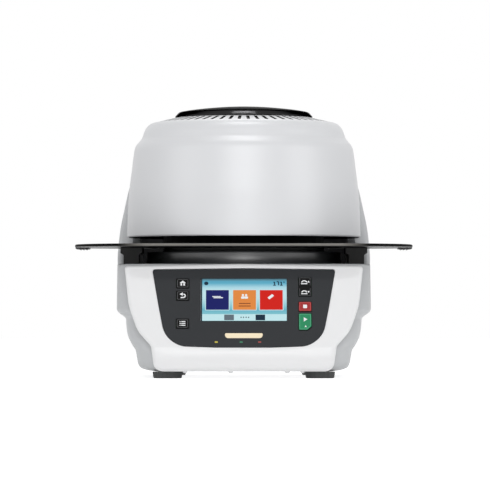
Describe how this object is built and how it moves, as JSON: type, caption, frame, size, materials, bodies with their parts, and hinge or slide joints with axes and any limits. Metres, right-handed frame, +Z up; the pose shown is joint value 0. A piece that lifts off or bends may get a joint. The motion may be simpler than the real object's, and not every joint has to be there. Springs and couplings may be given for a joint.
{
  "type": "dental lab furnace",
  "caption": "Table-top dental furnace: round tilting furnace head over a wide black cooling tray, on a base with a tilted touch-screen panel.",
  "frame": {"origin": "on the table, under the middle of the whole part's box", "axes": "+Z is up and the control panel faces -Y; +X is to the right of someone who faces the control panel"},
  "size_m": [0.397, 0.43, 0.3206],
  "materials": {
    "housing_grey": "satin",
    "bezel_white": "gloss",
    "panel_dark": "satin",
    "screen_glass": "gloss",
    "light_bar": "satin",
    "key_black": "satin",
    "circuit_board": "satin",
    "collar_black": "gloss",
    "cap_black": "gloss",
    "bracket_black": "satin",
    "connector_black": "satin",
    "rubber_black": "matte",
    "silver_shell": "satin",
    "tray_black": "satin",
    "zinc_steel": "satin",
    "dark_steel": "matte",
    "panel_steel": "satin",
    "gearbox_metal": "satin",
    "brass_bush": "satin",
    "insulating_fibre": "matte",
    "ceramic_white": "matte",
    "heating_wire": "matte"
  },
  "bodies": {
    "base": {"base_housing": "housing_grey", "base_pan": "zinc_steel", "deck_plate": "housing_grey", "rear_housing": "housing_grey", "front_bezel": "bezel_white", "control_fascia": "panel_dark", "touch_screen": "screen_glass", "status_light_bar": "light_bar", "keypad_board": "circuit_board", "lcd_module": "zinc_steel", "control_board": "circuit_board", "deck_collar": "collar_black", "base_seal_ring": "rubber_black", "table_insulation": "insulating_fibre", "firing_table": "ceramic_white", "table_support_cup": "zinc_steel", "tray_bracket_left": "bracket_black", "tray_bracket_right": "bracket_black", "hinge_bracket_left": "zinc_steel", "hinge_bracket_right": "zinc_steel", "hinge_bush_left": "brass_bush", "hinge_bush_right": "brass_bush", "lift_gearbox": "gearbox_metal", "lift_motor": "gearbox_metal", "power_supply": "gearbox_metal", "vacuum_valve": "bracket_black", "rear_panel": "panel_steel", "mains_inlet": "connector_black", "fuse_holder_left": "connector_black", "fuse_holder_right": "connector_black", "switch_frame": "connector_black", "pump_socket": "connector_black", "vacuum_port": "brass_bush", "network_socket": "zinc_steel", "usb_socket": "zinc_steel", "foot_front_left": "rubber_black", "foot_front_right": "rubber_black", "foot_rear_left": "rubber_black", "foot_rear_right": "rubber_black"},
    "head": {"head_shell": "silver_shell", "vent_ring": "silver_shell", "head_cap": "cap_black", "head_base_plate": "zinc_steel", "head_sealing_ring": "dark_steel", "head_insulation": "insulating_fibre", "muffle": "ceramic_white", "heating_coil": "heating_wire", "thermocouple": "ceramic_white", "hinge_arm_left": "zinc_steel", "hinge_arm_right": "zinc_steel", "hinge_pin": "zinc_steel"},
    "tray": {"cooling_tray": "tray_black"},
    "home_button": {"home_key": "key_black"},
    "back_button": {"back_key": "key_black"},
    "program_button": {"program_key": "key_black"},
    "head_up_button": {"head_up_key": "key_black"},
    "head_down_button": {"head_down_key": "key_black"},
    "stop_button": {"stop_key": "key_black"},
    "start_button": {"start_key": "key_black"},
    "rocker": {"mains_rocker": "connector_black"}
  },
  "joints": [
    {"name": "head_tilt", "type": "hinge", "parent": "base", "child": "head", "pos_m": [0, 0.15, 0.178], "axis": [-1, 0, 0], "range_deg": [0, 55]},
    {"name": "tray_draw", "type": "slide", "parent": "base", "child": "tray", "axis": [0, -1, 0], "range_m": [0, 0.22]},
    {"name": "home_press", "type": "slide", "parent": "base", "child": "home_button", "axis": [0, 0.8829, -0.4695], "range_m": [0, 0.0005], "stiffness_N_per_m": 3000, "springref_m": -0.0003},
    {"name": "back_press", "type": "slide", "parent": "base", "child": "back_button", "axis": [0, 0.8829, -0.4695], "range_m": [0, 0.0005], "stiffness_N_per_m": 3000, "springref_m": -0.0003},
    {"name": "program_press", "type": "slide", "parent": "base", "child": "program_button", "axis": [0, 0.8829, -0.4695], "range_m": [0, 0.0005], "stiffness_N_per_m": 3000, "springref_m": -0.0003},
    {"name": "head_up_press", "type": "slide", "parent": "base", "child": "head_up_button", "axis": [0, 0.8829, -0.4695], "range_m": [0, 0.0005], "stiffness_N_per_m": 3000, "springref_m": -0.0003},
    {"name": "head_down_press", "type": "slide", "parent": "base", "child": "head_down_button", "axis": [0, 0.8829, -0.4695], "range_m": [0, 0.0005], "stiffness_N_per_m": 3000, "springref_m": -0.0003},
    {"name": "stop_press", "type": "slide", "parent": "base", "child": "stop_button", "axis": [0, 0.8829, -0.4695], "range_m": [0, 0.0005], "stiffness_N_per_m": 3000, "springref_m": -0.0003},
    {"name": "start_press", "type": "slide", "parent": "base", "child": "start_button", "axis": [0, 0.8829, -0.4695], "range_m": [0, 0.0005], "stiffness_N_per_m": 3000, "springref_m": -0.0003},
    {"name": "mains_rock", "type": "hinge", "parent": "base", "child": "rocker", "pos_m": [-0.018, 0.208, 0.05], "axis": [-1, 0, 0], "range_deg": [0, 16]}
  ]
}
